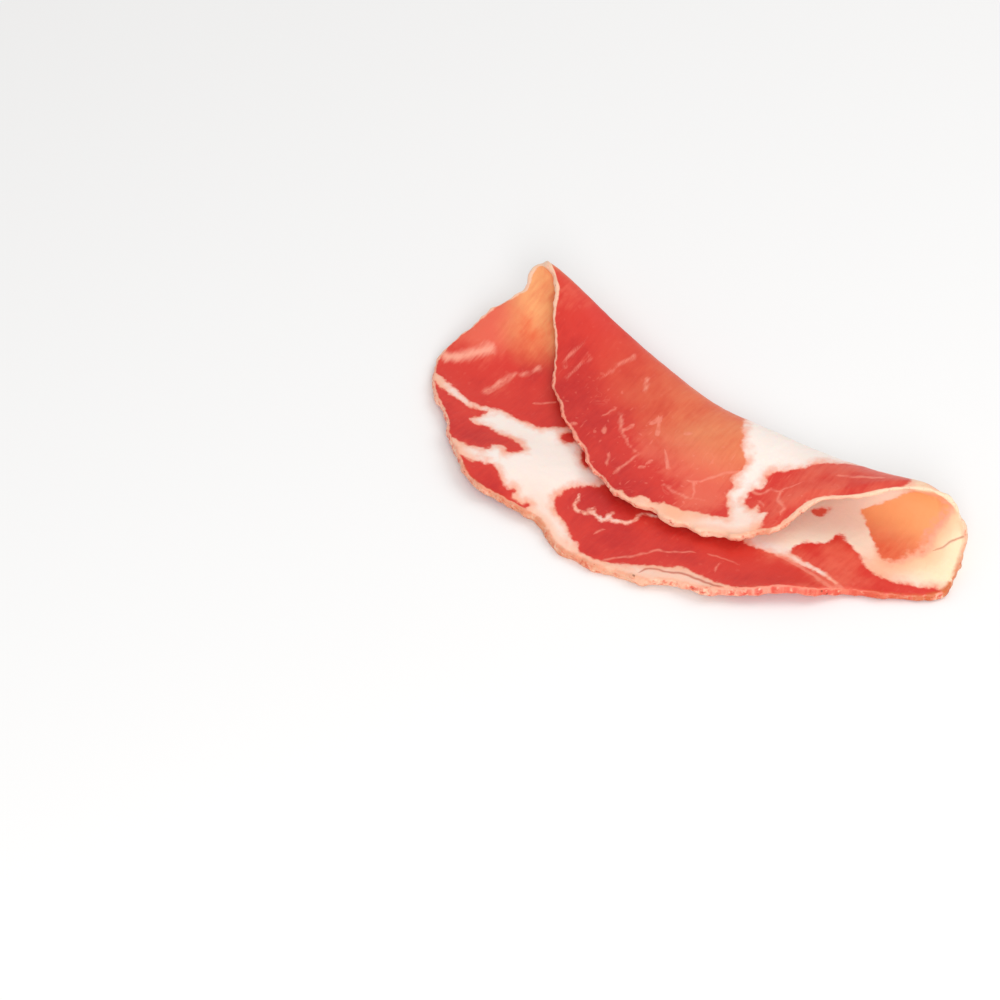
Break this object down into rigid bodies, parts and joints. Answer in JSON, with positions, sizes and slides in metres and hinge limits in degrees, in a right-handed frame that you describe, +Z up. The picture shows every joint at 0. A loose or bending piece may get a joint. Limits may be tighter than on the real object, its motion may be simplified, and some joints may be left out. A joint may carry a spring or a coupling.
{
  "type": "folded slice of coppa",
  "caption": "Thin oval slice of cured pork neck, folded over once and lying down: red muscle marbled with white fat, brown rind round the rim.",
  "frame": {"origin": "middle of the slice's outline seen from above, on the table that it lies on", "axes": "+X along the fold towards its open end, +Y from the slice's free edges towards the fold, +Z up"},
  "size_m": [0.1196, 0.0588, 0.0147],
  "materials": {
    "cured_meat": "moist cured meat, satin, red muscle with white fat seams and a brown rind"
  },
  "bodies": {
    "root": {"coppa_slice": "cured_meat"}
  },
  "joints": []
}
